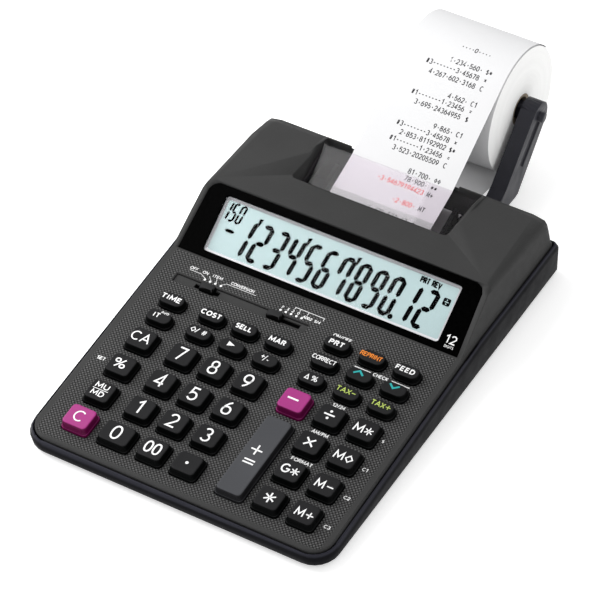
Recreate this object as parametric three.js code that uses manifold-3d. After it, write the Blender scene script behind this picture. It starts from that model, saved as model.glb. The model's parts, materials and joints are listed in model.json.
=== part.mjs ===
// Desk printing calculator with a fold-out paper roll holder.
// Millimetres, +X to the right, +Y to the back, +Z up.
// The key panel lies in a plane tilted about X: "s" runs up that plane from the
// front edge of the case and "h" is the height over the seam between the cases.
import * as THREE from 'three';
import Module from 'manifold-3d';
import { mergeVertices } from 'three/addons/utils/BufferGeometryUtils.js';

const wasm = await Module();
wasm.setup();

// ---- driving dimensions -------------------------------------------------
const CASE_W = 165;            // overall width of the lower case
const CASE_D = 220.7;          // front to back of the lower case
const SHIFT_Y = -45.95;        // puts the origin under the middle of the whole object
const LIFT = 2.0;              // height of the feet under the case
const SEAM_Z = 6.67;           // height of the seam at the front edge, over the case bottom
const TILT = THREE.MathUtils.degToRad(4.3);   // slope of seam and key panel
const PANEL_H = 1.6;           // panel surface over the seam
const WALL = 1.8;              // wall thickness of both cases
const SEAM_GAP = 0.8;          // open seam between upper and lower case
const FRONT_R = 13, REAR_R = 3;               // plan corner radii
const SEAM_FLAT_Y = 33;        // behind this line the seam runs level
const KEY_TOP = 5.8;           // key top over the seam plane
const KEY_TRAVEL = 1.5;
const KEY_GAP = 0.35;          // key to panel opening
const COL = { a0: -59.3, a1: -37.2, a2: -19.0, a3: -0.6, a4: 24.4, a5: 43.3, a6: 61.6 };
const ROW = { r0: 71.3, r1: 53.5, r2: 35.7, r3: 17.9, t0: 110.3, t1: 98.4, t2: 86.6 };
const BIG = { w: 14.6, d: 13.8, r: 2.2, tw: 11.9, td: 10.9 };
const SMALL = { w: 14.4, d: 8.8, r: 3.4, tw: 12.2, td: 6.5 };
const FOOT = [18.9, 18.0];     // front foot of the display slope (y, z)
const CREST = [51.7, 38.0];    // upper end of the display slope
const ROLL_C = [169.5, 32.0];  // paper roll axis (y, z)
const ROLL_R = 32.8, BORE_R = 6.5, PAPER_W = 57;
const PIVOT = [115.0, 4.6];    // roll holder hinge axis (y, z)
const RECESS_X = 42.9, RECESS_Y0 = 70.2, RECESS_Y1 = 104.8;
const WELL_R = 2.2, LEDGE = 1.0;   // front corners of the printer well, width of the ledges under the lid
const COVER_A = [70.6, 24.9], COVER_B = [101.0, 34.6];   // top line of the printer cover
const PLATEN_C = [79.0, 18.35], PLATEN_R = 6.0;
const DRUM_C = [65.4, 18.0], DRUM_R = 5.6;
const INK_C = [62.2, 27.9], INK_R = 4.2;
const BAY = { x0: -76.6, x1: 27, y0: 28.4, y1: 57.6, top: 16.8, wall: 0.9 };
const YF = -CASE_D / 2;

// ---- helpers ------------------------------------------------------------
const T = new THREE.Matrix4().makeTranslation(0, SHIFT_Y, LIFT);
const seamZ = (y, h = 0) => SEAM_Z + (Math.min(y, SEAM_FLAT_Y) - YF) * Math.tan(TILT) + h / Math.cos(TILT);
// everything above (or below) the seam moved by h
const seamSide = (h, above) => [[-130, seamZ(-130, h)], [SEAM_FLAT_Y, seamZ(SEAM_FLAT_Y, h)], [130, seamZ(130, h)], [130, above ? 90 : -90], [-130, above ? 90 : -90]];

function geo(points, tris) {
  const g = new THREE.BufferGeometry();
  g.setAttribute('position', new THREE.BufferAttribute(new Float32Array(points.flat()), 3));
  g.setIndex(tris.flat());
  return g;
}
function solid(g) {
  let c = g.clone();
  for (const k of ['normal', 'uv', 'color']) if (c.getAttribute(k)) c.deleteAttribute(k);
  c = mergeVertices(c, 1e-5);
  return new wasm.Manifold(new wasm.Mesh({
    numProp: 3,
    vertProperties: new Float32Array(c.getAttribute('position').array),
    triVerts: new Uint32Array(c.index.array),
  }));
}
function geometryOf(m) {
  const mesh = m.getMesh();
  const g = new THREE.BufferGeometry();
  g.setAttribute('position', new THREE.BufferAttribute(new Float32Array(mesh.vertProperties), 3));
  g.setIndex(Array.from(mesh.triVerts));
  return g;
}
// counter-clockwise rounded rectangle; rf rounds the y0 corners and rb the y1 corners
function outline(x0, x1, y0, y1, rf, rb, n = 2) {
  const pts = [];
  const arc = (cx, cy, r, a0) => {
    for (let i = 0; i <= n; i++) {
      const a = a0 + (Math.PI / 2) * (i / n);
      pts.push([cx + r * Math.cos(a), cy + r * Math.sin(a)]);
    }
  };
  arc(x0 + rf, y0 + rf, rf, Math.PI);
  arc(x1 - rf, y0 + rf, rf, 1.5 * Math.PI);
  arc(x1 - rb, y1 - rb, rb, 0);
  arc(x0 + rb, y1 - rb, rb, 0.5 * Math.PI);
  return pts;
}
// closed skin through rings of equal length; each ring counter-clockwise seen
// from the last ring; axes says which two coordinates the end caps are cut in
function loft(rings, axes = [0, 1]) {
  const n = rings[0].length, pts = rings.flat(), tris = [];
  for (let k = 0; k + 1 < rings.length; k++) {
    for (let i = 0; i < n; i++) {
      const j = (i + 1) % n, a = k * n + i, b = k * n + j, c = a + n, d = b + n;
      tris.push([a, b, d], [a, d, c]);
    }
  }
  const cap = (ring, base, flip) => {
    const flat = ring.map((p) => new THREE.Vector2(p[axes[0]], p[axes[1]]));
    const area = THREE.ShapeUtils.area(flat);
    for (const t of THREE.ShapeUtils.triangulateShape(flat, [])) {
      const up = area > 0 ? t : [t[0], t[2], t[1]];
      tris.push((flip ? [up[0], up[2], up[1]] : up).map((i) => base + i));
    }
  };
  cap(rings[0], 0, true);
  cap(rings[rings.length - 1], (rings.length - 1) * n, false);
  return geo(pts, tris);
}
// polygon in the Y-Z plane, counter-clockwise with y to the right and z up, swept along X
function profileX(poly, x0, x1) {
  const ccw = THREE.ShapeUtils.area(poly.map((p) => new THREE.Vector2(...p))) > 0 ? poly : [...poly].reverse();
  return loft([ccw.map(([y, z]) => [x0, y, z]), ccw.map(([y, z]) => [x1, y, z])], [1, 2]);
}
const box = (x0, x1, y0, y1, z0, z1) => {
  const g = new THREE.BoxGeometry(x1 - x0, y1 - y0, z1 - z0);
  g.translate((x0 + x1) / 2, (y0 + y1) / 2, (z0 + z1) / 2);
  return g;
};
// cylinder along X
function rodX(x0, x1, y, z, r, n = 24) {
  const g = new THREE.CylinderGeometry(r, r, x1 - x0, n);
  g.rotateZ(Math.PI / 2);
  g.translate((x0 + x1) / 2, y, z);
  return g;
}
// turned piece along X from [radius, x] pairs, starting and ending on the axis
function turnedX(profile, y, z, n = 28) {
  const g = new THREE.LatheGeometry(profile.map(([r, x]) => new THREE.Vector2(r, x)), n);
  g.rotateZ(-Math.PI / 2);
  g.translate(0, y, z);
  return g;
}
const post = (x, y, z0, z1, r, n = 14) => {
  const g = new THREE.CylinderGeometry(r, r, z1 - z0, n);
  g.rotateX(Math.PI / 2);
  g.translate(x, y, (z0 + z1) / 2);
  return g;
};

const root = new THREE.Group();
function add(name, g, color, roughness, metalness = 0, matrix = T) {
  const geom = g.isBufferGeometry ? g : geometryOf(g);
  const m = new THREE.Mesh(geom, new THREE.MeshStandardMaterial({ color, roughness, metalness }));
  m.name = name;
  m.applyMatrix4(matrix);
  root.add(m);
  return m;
}
// frame of the key panel: x across, y = s up the slope, z = h out of the panel
const PANEL = new THREE.Matrix4().makeRotationX(TILT).setPosition(0, YF, SEAM_Z);
const panelMatrix = (x, s, h = 0) => new THREE.Matrix4().makeTranslation(x, s, h).premultiply(PANEL);
const inWorld = (g, m) => { const c = g.clone(); c.applyMatrix4(m); return c; };

// ---- key layout ---------------------------------------------------------
const KEYS = [];
const key = (name, col, row, kind = BIG, extra = {}) => KEYS.push({ name, x: COL[col], s: ROW[row], kind, color: 0x2e2f31, ...extra });
key('key_time', 'a0', 't1', SMALL); key('key_item_count', 'a0', 't2', SMALL);
key('key_ca', 'a0', 'r0'); key('key_percent', 'a0', 'r1'); key('key_mark_up', 'a0', 'r2');
key('key_clear', 'a0', 'r3', BIG, { color: 0x993f7e });
key('key_cost', 'a1', 't1', SMALL); key('key_non_add', 'a1', 't2', SMALL);
key('key_7', 'a1', 'r0'); key('key_4', 'a1', 'r1'); key('key_1', 'a1', 'r2');
key('key_0', 'a1', 'r3', { ...BIG, w: 17.6, tw: 14.9 }, { x: COL.a1 - 1.5 });
key('key_sell', 'a2', 't1', SMALL); key('key_shift_digit', 'a2', 't2', SMALL);
key('key_8', 'a2', 'r0'); key('key_5', 'a2', 'r1'); key('key_2', 'a2', 'r2'); key('key_00', 'a2', 'r3');
key('key_margin', 'a3', 't1', SMALL); key('key_sign', 'a3', 't2', SMALL);
key('key_9', 'a3', 'r0'); key('key_6', 'a3', 'r1'); key('key_3', 'a3', 'r2'); key('key_point', 'a3', 'r3');
key('key_print', 'a4', 't0', SMALL); key('key_correct', 'a4', 't1', SMALL); key('key_delta_percent', 'a4', 't2', SMALL);
key('key_minus', 'a4', 'r0', BIG, { color: 0x993f7e });
key('key_plus_equals', 'a4', 'r2', { w: 15.2, d: 49.4, r: 2.2, tw: 12.8, td: 46.8 }, { color: 0x4f5155, s: (ROW.r1 + ROW.r3) / 2 });
key('key_reprint', 'a5', 't0', SMALL); key('key_up', 'a5', 't1', SMALL); key('key_tax_minus', 'a5', 't2', SMALL);
key('key_divide', 'a5', 'r0'); key('key_multiply', 'a5', 'r1'); key('key_grand_total', 'a5', 'r2'); key('key_total', 'a5', 'r3');
key('key_feed', 'a6', 't0', SMALL); key('key_down', 'a6', 't1', SMALL); key('key_tax_plus', 'a6', 't2', SMALL);
key('key_memory_total', 'a6', 'r0'); key('key_memory_subtotal', 'a6', 'r1'); key('key_memory_minus', 'a6', 'r2'); key('key_memory_plus', 'a6', 'r3');

function keyRing(w, d, r, h) {
  return outline(-w / 2, w / 2, -d / 2, d / 2, r, r).map(([x, y]) => [x, y, h]);
}
// flange under the panel, then a body that narrows to a flat top with an eased edge
function keyGeometry({ w, d, r, tw, td }) {
  return loft([
    keyRing(w + 2, d + 2, r + 0.6, -1.3),
    keyRing(w + 2, d + 2, r + 0.6, -0.5),
    keyRing(w, d, r, -0.5),
    keyRing(tw + 0.7, td + 0.7, r * 0.9, KEY_TOP - 0.45),
    keyRing(tw - 0.3, td - 0.3, r * 0.7, KEY_TOP),
  ]);
}

// ---- lower case ---------------------------------------------------------
// tray with a bevelled rim, floor, battery bay, posts, holder lugs and feet
// adds a point on each long side where the seam turns level
function bent(pts) {
  const out = [];
  for (let i = 0; i < pts.length; i++) {
    const a = pts[i], b = pts[(i + 1) % pts.length];
    out.push(a);
    if ((a[1] - SEAM_FLAT_Y) * (b[1] - SEAM_FLAT_Y) < 0) out.push([a[0] + (b[0] - a[0]) * (SEAM_FLAT_Y - a[1]) / (b[1] - a[1]), SEAM_FLAT_Y]);
  }
  return out;
}
function caseRing(inset, zOf, nr = 6) {
  const w = CASE_W / 2 - inset;
  return bent(outline(-w, w, YF + inset, -YF - inset, Math.max(FRONT_R - inset, 2), Math.max(REAR_R - inset, 2), nr))
    .map(([x, y]) => [x, y, zOf(y)]);
}
let lower = solid(loft([
  caseRing(1.3, () => 0), caseRing(0.6, () => 0.9), caseRing(0, (y) => seamZ(y, -2.4)), caseRing(1.2, (y) => seamZ(y, 0)),
  caseRing(1.22, (y) => seamZ(y, 5)),
]));
lower = lower.subtract(solid(profileX(seamSide(0.05, true), -95, 95)));
lower = lower.subtract(solid(loft([caseRing(2.0, () => 1.5), caseRing(2.0, (y) => seamZ(y, 9))])));
lower = lower.add(solid(box(BAY.x0 - BAY.wall, BAY.x1 + BAY.wall, BAY.y0 - BAY.wall, BAY.y1 + BAY.wall, 0.6, BAY.top + BAY.wall)));
lower = lower.subtract(solid(box(BAY.x0, BAY.x1, BAY.y0, BAY.y1, 1.2, BAY.top)));
// opening for the battery cover: through the floor and out of the left wall
lower = lower.subtract(solid(box(-90, BAY.x1, BAY.y0 - 0.4, BAY.y1 + 0.4, -1, 1.5)));
// rails that carry the edges of the sliding cover
for (const [y, lip0, lip1] of [[BAY.y0 - 1.9, BAY.y0 - 1.9, BAY.y0 + 0.7], [BAY.y1 + 0.4, BAY.y1 - 0.7, BAY.y1 + 1.9]]) {
  lower = lower.add(solid(box(-78, BAY.x1, y, y + 1.5, -1.0, 1.2))).add(solid(box(-78, BAY.x1, lip0, lip1, -1.0, -0.3)));
}
// supports for the circuit board
for (const x of [-60, 0, 62]) {
  for (const s of [14, 66, 118]) {
    const y = YF + s;
    lower = lower.add(solid(post(x === 0 ? 11.5 : x, y, 1.0, seamZ(y, -5.6), 2.4)));
  }
}
// paper inlet through the rear wall
lower = lower.subtract(solid(box(-30, 30, 105, 115, 8.2, 12.6)));
// lugs for the roll holder rod
for (const x of [-46.5, 43.2]) {
  let lug = solid(profileX([[109.4, 1.2], [116.5, 1.2], [118.6, 3.2], [118.6, 6.6], [116.5, 8.6], [109.4, 8.6]], x, x + 3.3));
  lug = lug.subtract(solid(rodX(x - 1, x + 5, PIVOT[0], PIVOT[1], 2.35, 20)));
  lower = lower.add(lug);
}
// four round feet
for (const [x, y] of [[-66, YF + 14], [66, YF + 14], [-66, -YF - 14], [66, -YF - 14]]) lower = lower.add(solid(post(x, y, -LIFT, 0.8, 6, 20)));
add('lower_case', lower, 0x212225, 0.55);

// ---- upper case ---------------------------------------------------------
const slope = Math.atan2(CREST[1] - FOOT[1], CREST[0] - FOOT[0]);
const U = [Math.cos(slope), Math.sin(slope)], N = [-Math.sin(slope), Math.cos(slope)];
const onSlope = (u, n) => [FOOT[0] + u * U[0] + n * N[0], FOOT[1] + u * U[1] + n * N[1]];
// frame of the display: x across, y up the slope, z out of it
const SLOPE = new THREE.Matrix4().makeRotationX(slope).setPosition(0, FOOT[0], FOOT[1]);

const INSET = 1.8 + SEAM_GAP;  // outline of the upper case inside the rim
function shellRing(inset, zOf, nr = 6) {
  const w = CASE_W / 2 - INSET - inset;
  return bent(outline(-w, w, YF + INSET + inset, -YF - INSET - inset, Math.max(FRONT_R - INSET - inset, 2), Math.max(REAR_R - 1 - inset, 2), nr))
    .map(([x, y]) => [x, y, zOf(y)]);
}
// long section of the outside, front to back
const outerLine = [
  [-125, seamZ(-125, PANEL_H)], FOOT, CREST, [96.0, 36.7], [102.6, 35.3], [105.6, 34.2], [107.1, 32.9], [107.8, 30.6],
];
const outerPoly = [[-125, -20], [125, -20], [125, 30.6], ...[...outerLine].reverse()];
// the hump narrows upwards and has a soft edge along each side
function roof(dx, dz) {
  // [y, drop of the roof line, radius of its edge]
  const ends = [[-125, -8, 1], [52, 0, 1], [90, 1.5, 1.15], [102, 3.4, 1.5], [108, 5.2, 1.9], [125, 9, 1.9]];
  return loft(ends.map(([y, drop, k]) => {
    const half = [[79.9, -30], [79.9, 16.5], [78.2, 37.8 - 3.8 * k - drop], [77.4, 37.8 - 1.7 * k - drop], [76.0, 38.2 - 0.7 * k - drop], [78.1 - 4.6 * k, 38.4 - drop]].map(([x, z]) => [x + dx, z + dz]);
    return [...half, ...half.map(([x, z]) => [-x, z]).reverse()].map(([x, z]) => [x, y, z]);
  }).reverse(), [0, 2]);
}
let upper = solid(loft([
  shellRing(0, (y) => seamZ(y, -6)), shellRing(0, (y) => seamZ(y, 1.0)), shellRing(0.5, (y) => seamZ(y, PANEL_H)), shellRing(2.6, (y) => seamZ(y, 26)),
]));
upper = upper.intersect(solid(profileX(outerPoly, -95, 95))).intersect(solid(roof(0, 0))).subtract(solid(profileX(seamSide(-1.5, false), -95, 95)));
// inside of the shell
const IN_FOOT = [FOOT[0] + 1.2, seamZ(FOOT[0] + 1.2, -0.2)];
const innerPoly = [
  [-125, -20], [125, -20], [125, 29.0], [105.9, 29.4], [105.4, 31.4], [104.2, 32.6], [102.0, 33.5], [95.6, 34.9], [52.6, 36.1], [50.0, 33.2],
  onSlope(2.0, -3.4), IN_FOOT, [-125, seamZ(-125, -0.2)],
];
let cavity = solid(loft([shellRing(WALL, (y) => seamZ(y, -8)), shellRing(WALL, (y) => seamZ(y, 2)), shellRing(WALL + 2.6, (y) => seamZ(y, 27))]));
cavity = cavity.intersect(solid(profileX(innerPoly, -95, 95))).intersect(solid(roof(-1.9, -1.9)));
upper = upper.subtract(cavity);
// printer well: walls round it, then the well itself with rounded front corners
const wellOuter = outline(-RECESS_X - 1.6, RECESS_X + 1.6, RECESS_Y0 - 1.7, RECESS_Y1 + 1.4, 5, 1.5, 3);
let wellWalls = solid(loft([wellOuter.map(([x, y]) => [x, y, 21.5]), wellOuter.map(([x, y]) => [x, y, 45])]))
  .subtract(solid(box(-35.8, 35.8, 60, 74, 10, 24.2)));
wellWalls = wellWalls.intersect(solid(profileX(outerPoly, -95, 95)));
const wellInner = outline(-RECESS_X, RECESS_X, RECESS_Y0, RECESS_Y1, WELL_R, 0.8, 3);
upper = upper.add(wellWalls).subtract(solid(loft([wellInner.map(([x, y]) => [x, y, 15]), wellInner.map(([x, y]) => [x, y, 60])])));
// low part of the rear edge where the paper leaves
upper = upper.subtract(solid(profileX([[101.5, 30.4], [112, 34.6], [112, 60], [101.5, 60]], -30.2, 30.2)));
// ledges under the long edges of the printer cover
const lean = Math.atan2(COVER_B[1] - COVER_A[1], COVER_B[0] - COVER_A[0]);
const coverZ = (y) => COVER_A[1] + (y - COVER_A[0]) * Math.tan(lean);
for (const [x0, x1] of [[-RECESS_X - 0.5, -RECESS_X + LEDGE], [RECESS_X - LEDGE, RECESS_X + 0.5]]) {
  const y0 = 76, y1 = 99;
  upper = upper.add(solid(profileX([[y0, coverZ(y0) - 3.4], [y1, coverZ(y1) - 3.4], [y1, coverZ(y1) - 2.0], [y0, coverZ(y0) - 2.0]], x0, x1)));
}
// pocket for the display window and opening for the glass
const windowShape = (g) => [
  [-76.9 + g, 0.6 + g], [76.9 - g, 0.6 + g], [75.2 - g, 32.6 - g], [73.9 - g, 35.6 - g], [70.6 - g, 37.3 - g],
  [-70.6 + g, 37.3 - g], [-73.9 + g, 35.6 - g], [-75.2 + g, 32.6 - g],
];
const slab = (shape, n0, n1) => loft([shape.map(([x, u]) => [x, u, n0]), shape.map(([x, u]) => [x, u, n1])]);
upper = upper.subtract(solid(inWorld(slab(windowShape(0), -1.9, 6), SLOPE)));
upper = upper.subtract(solid(inWorld(slab([[-66, 3.0], [66, 3.0], [66, 34], [-66, 34]], -9, 1), SLOPE)));
// key openings
for (const k of KEYS) {
  const { w, d, r } = k.kind, g = KEY_GAP;
  const hole = loft([-4, 6].map((h) => keyRing(w - 0.35 + 2 * g, d - 0.35 + 2 * g, r, h)));
  upper = upper.subtract(solid(inWorld(hole, panelMatrix(k.x, k.s))));
}
// sunken strip for the two slide switches and their slots
const SW = { s: 113.9, d: 5.2, x0: -68.3, x1: 5.0 };
const FUNC = { x: -49.6, back: 5.3, ahead: 4.4 }, DEC = { x: -12.2, back: 0.3, ahead: 11.6 };
upper = upper.subtract(solid(inWorld(box(SW.x0, SW.x1, SW.s - SW.d / 2, SW.s + SW.d / 2, PANEL_H - 0.7, 6), PANEL)));
for (const w of [FUNC, DEC]) upper = upper.subtract(solid(inWorld(box(w.x - 1.6 - w.back - 0.4, w.x + 1.6 + w.ahead + 0.4, SW.s - 1.3, SW.s + 1.3, -6, 6), PANEL)));
add('upper_case', upper, 0x3a3a3b, 0.6);

// ---- slide switches -----------------------------------------------------
// thumb piece over the strip, neck through the slot, shoe under the panel
for (const [name, w] of [['function_switch', FUNC], ['decimal_switch', DEC]]) {
  const thumb = outline(-4, 4, -2.3, 2.3, 0.8, 0.8);
  const t2 = outline(-3.4, 3.4, -1.6, 1.6, 0.6, 0.6);
  let g = solid(loft([thumb.map(([x, y]) => [x, y, PANEL_H - 0.35]), thumb.map(([x, y]) => [x, y, 2.6]), t2.map(([x, y]) => [x, y, 4.2])]));
  g = g.add(solid(box(-1.6, 1.6, -0.95, 0.95, -1.2, 2.4))).add(solid(box(-2.6, 2.6, -2.4, 2.4, -1.4, -0.5)));
  add(name, inWorld(geometryOf(g), panelMatrix(w.x, SW.s)), 0x2a2a2c, 0.5);
}

// ---- keys ---------------------------------------------------------------
for (const k of KEYS) add(k.name, inWorld(keyGeometry(k.kind), panelMatrix(k.x, k.s)), k.color, 0.5);

// ---- display ------------------------------------------------------------
add('display_window', inWorld(slab(windowShape(0.3), -1.6, 0), SLOPE), 0x060607, 0.06);
add('lcd_panel', inWorld(slab([[-65.7, 3.3], [65.7, 3.3], [65.7, 33.7], [-65.7, 33.7]], -4.2, -2.2), SLOPE), 0xcde2e5, 0.35);

// ---- key mat and circuit board -----------------------------------------
const sheetPlate = (x, s0, s1, h0, h1) => inWorld(loft([h0, h1].map((h) => outline(-x, x, s0, s1, 3, 3).map(([px, py]) => [px, py, h]))), PANEL);
add('key_mat', sheetPlate(72, 9, 119, -3.9, -3.1), 0x8d9196, 0.8);
add('main_board', sheetPlate(74, 8, 122, -5.2, -4.2), 0x2f6b3c, 0.5);

// ---- printer ------------------------------------------------------------
// side plates joined by two bars
const plate = [[59.4, 3], [97, 3], [97, 28], [72, 20.8], [67.7, 20.8], [67.7, 33.6], [60.2, 33.6], [59.4, 32.8]];
let frame = solid(profileX(plate, -34.2, -31.8)).add(solid(profileX(plate, 31.8, 34.2)));
frame = frame.add(solid(box(-33, 33, 86, 97, 3, 5))).add(solid(box(-33, 33, 59.4, 63, 3, 6.5)));
for (const [c, r] of [[PLATEN_C, 1.8], [DRUM_C, 1.8], [INK_C, 1.5]]) frame = frame.subtract(solid(rodX(-40, 40, c[0], c[1], r, 20)));
add('printer_frame', frame, 0x1b1c1e, 0.6);
const roller = (r, half, shaft) => [[0, -35.6], [shaft, -35.6], [shaft, -half], [r, -half], [r, half], [shaft, half], [shaft, 35.6], [0, 35.6]];
add('platen_roller', turnedX(roller(PLATEN_R, 30.6, 1.4), ...PLATEN_C), 0x2b2b2b, 0.85);
add('print_drum', turnedX([[0, -35.6], [1.4, -35.6], [1.4, -29.5], [DRUM_R - 0.8, -29.5], [DRUM_R, -28.7], [DRUM_R, 28.7], [DRUM_R - 0.8, 29.5], [1.4, 29.5], [1.4, 35.6], [0, 35.6]], ...DRUM_C), 0x55585c, 0.5);
add('ink_roller', turnedX(roller(INK_R, 27, 1.1), ...INK_C), 0x1d1930, 0.9);

// see-through lid over the print line, thicker bead along its front edge
const cd = [Math.cos(lean), Math.sin(lean)], cn = [-Math.sin(lean), Math.cos(lean)];
const onLid = (u, n) => [COVER_A[0] + u * cd[0] + n * cn[0], COVER_A[1] + u * cd[1] + n * cn[1]];
const lidLen = Math.hypot(COVER_B[0] - COVER_A[0], COVER_B[1] - COVER_A[1]);
{
  const shape = outline(-RECESS_X + 0.4, RECESS_X - 0.4, 0.4, lidLen, WELL_R - 0.2, 0.8, 3);
  const LID = new THREE.Matrix4().makeRotationX(lean).setPosition(0, COVER_A[0], COVER_A[1]);
  add('printer_cover', inWorld(slab(shape, -1.6, 0), LID), 0x4a4a4c, 0.15);
}

// ---- paper roll and its holder -----------------------------------------
{
  const c = ROLL_C, p = PIVOT;
  // arm: a foot round the hinge rod, level run, then the rise to a rounded tip
  const arm = [];
  for (let i = 0; i <= 6; i++) { const a = Math.PI * (0.5 + i / 6); arm.push([p[0] + 3.9 * Math.cos(a), p[1] + 3.9 * Math.sin(a)]); }
  arm.push([124, 0.5], [136.0, -1.0], [144.5, -1.2], [146.6, -0.8]);
  for (let i = 0; i <= 12; i++) { const a = THREE.MathUtils.degToRad(-45 + 173 * (i / 12)); arm.push([c[0] + 7.6 * Math.cos(a), c[1] + 7.6 * Math.sin(a)]); }
  arm.push([134.5, 10.8], [129.5, 8.5]);
  let holder = solid(rodX(-46.9, 46.9, p[0], p[1], 2.0, 20));
  for (const side of [-1, 1]) {
    const x0 = side < 0 ? -39.2 : 31.0;
    let a = solid(profileX(arm, x0, x0 + 8.2));
    // long groove down the outer face
    const out = side < 0 ? [-40, -38.4] : [38.4, 40];
    const dir = [Math.cos(THREE.MathUtils.degToRad(41)), Math.sin(THREE.MathUtils.degToRad(41))];
    const q = (t, n) => [c[0] - t * dir[0] - n * dir[1], c[1] - t * dir[1] + n * dir[0]];
    a = a.subtract(solid(profileX([q(-2, -2.6), q(-2, 2.6), q(26, 2.6), q(26, -2.6)], ...out)));
    holder = holder.add(a);
    holder = holder.add(solid(side < 0 ? rodX(-41.4, -37, c[0], c[1], 2.8, 8) : rodX(37, 41.4, c[0], c[1], 2.8, 8)));
    holder = holder.add(solid(side < 0 ? rodX(-31.5, -23.5, c[0], c[1], 4.6, 18) : rodX(23.5, 31.5, c[0], c[1], 4.6, 18)));
  }
  add('roll_holder', holder, 0x2b2c31, 0.5);
  const w = PAPER_W / 2;
  const ring = solid(rodX(-w, w, c[0], c[1], ROLL_R, 48)).subtract(solid(rodX(-w - 2, w + 2, c[0], c[1], BORE_R, 20)));
  add('paper_roll', ring, 0xf4f4f4, 0.9);
}

// paper web: off the roll, in through the rear wall, round the platen, out under
// the lid and back over the roll
{
  const half = 0.13, w = PAPER_W / 2;
  const P = PLATEN_C, rp = PLATEN_R + 0.5, C = ROLL_C, rr = ROLL_R + 0.55;
  const tangent = (from, c, r, side) => {
    const dy = c[0] - from[0], dz = c[1] - from[1], D = Math.hypot(dy, dz);
    const a = Math.atan2(dz, dy) + side * Math.asin(r / D), L = Math.sqrt(D * D - r * r);
    return [from[0] + L * Math.cos(a), from[1] + L * Math.sin(a)];
  };
  const arc = (c, r, a0, a1, n) => Array.from({ length: n + 1 }, (_, i) => {
    const a = a0 + (a1 - a0) * (i / n); return [c[0] + r * Math.cos(a), c[1] + r * Math.sin(a)];
  });
  const inlet = [109.6, 10.3];
  const low = tangent(inlet, C, rr, -1);
  const under = tangent(inlet, P, rp, 1);          // lower side of the platen
  const tear = [101.8, 32.15];
  const path = [];
  path.push(low);
  path.push(inlet);
  const aU = Math.atan2(under[1] - P[1], under[0] - P[0]);
  const topDir = Math.PI / 2 + lean;
  path.push(...arc(P, rp, aU, topDir - 2 * Math.PI, 10));
  path.push(tear);
  const up = tangent(tear, C, rr, 1);
  const aT = Math.atan2(up[1] - C[1], up[0] - C[0]);
  path.push(...arc(C, rr, aT, THREE.MathUtils.degToRad(33), 9));
  const left = [], right = [];
  for (let i = 0; i < path.length; i++) {
    const a = path[Math.max(i - 1, 0)], b = path[Math.min(i + 1, path.length - 1)];
    const L = Math.hypot(b[0] - a[0], b[1] - a[1]), n = [-(b[1] - a[1]) / L, (b[0] - a[0]) / L];
    left.push([path[i][0] + n[0] * half, path[i][1] + n[1] * half]);
    right.push([path[i][0] - n[0] * half, path[i][1] - n[1] * half]);
  }
  add('paper_tape', profileX([...left, ...right.reverse()], -w + 0.6, w - 0.6), 0xfafafa, 0.9);
}

// ---- battery cover ------------------------------------------------------
// flat slide with a turned-up end that closes the notch in the left wall
{
  let lid = solid(box(-81.7, BAY.x1 - 0.5, BAY.y0 - 0.1, BAY.y1 + 0.1, 0.05, 1.15));
  for (let i = 0; i < 4; i++) lid = lid.subtract(solid(box(-74 + i * 2.4, -72.8 + i * 2.4, 36, 50, -1, 0.45)));
  add('battery_cover', lid, 0x222326, 0.55);
}

export default root;
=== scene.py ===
import json
import math
import bpy
import bmesh
from mathutils import Matrix, Vector


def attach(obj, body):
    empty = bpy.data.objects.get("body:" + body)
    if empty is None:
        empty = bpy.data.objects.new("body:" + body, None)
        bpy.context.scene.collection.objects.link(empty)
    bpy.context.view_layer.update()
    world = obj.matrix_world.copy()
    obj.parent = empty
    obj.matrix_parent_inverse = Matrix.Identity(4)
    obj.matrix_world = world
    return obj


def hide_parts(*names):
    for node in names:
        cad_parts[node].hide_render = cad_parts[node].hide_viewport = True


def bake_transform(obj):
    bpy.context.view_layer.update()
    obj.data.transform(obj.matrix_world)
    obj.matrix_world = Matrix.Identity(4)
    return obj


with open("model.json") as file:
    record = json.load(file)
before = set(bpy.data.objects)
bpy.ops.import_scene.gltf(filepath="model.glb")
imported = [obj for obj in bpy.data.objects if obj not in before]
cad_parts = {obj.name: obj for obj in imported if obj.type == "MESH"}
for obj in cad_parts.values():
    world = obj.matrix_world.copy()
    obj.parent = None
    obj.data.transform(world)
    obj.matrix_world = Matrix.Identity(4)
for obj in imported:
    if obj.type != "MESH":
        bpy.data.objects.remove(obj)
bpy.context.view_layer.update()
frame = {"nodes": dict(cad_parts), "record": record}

# ---------------------------------------------------------------- frames
MM = 0.001
SY, SZ = -45.95, 2.0            # case frame (mm) to row frame (mm)
TILT = math.radians(4.3)
FOOT = (18.9, 18.0)
SLOPE = math.atan2(38.0 - 18.0, 51.7 - 18.9)


def pt(x, y, z):
    """case frame, mm -> row frame, m"""
    return Vector((x * MM, (y + SY) * MM, (z + SZ) * MM))


def frame_matrix(x, a, n, origin, tilt):
    c, s = math.cos(tilt), math.sin(tilt)
    o = pt(x, origin[0] + a * c - n * s, origin[1] + a * s + n * c)
    return Matrix(((MM, 0, 0, o.x), (0, MM * c, -MM * s, o.y), (0, MM * s, MM * c, o.z), (0, 0, 0, 1)))


def on_panel(x=0, s=0, h=0):
    """x across, y up the key panel, z out of it, all in mm"""
    return frame_matrix(x, s, h, (-110.35, 6.67), TILT)


def on_slope(x=0, u=0, n=0):
    """x across, y up the display slope, z out of it, all in mm"""
    return frame_matrix(x, u, n, FOOT, SLOPE)


CASE = Matrix(((MM, 0, 0, 0), (0, MM, 0, SY * MM), (0, 0, MM, SZ * MM), (0, 0, 0, 1)))

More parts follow.
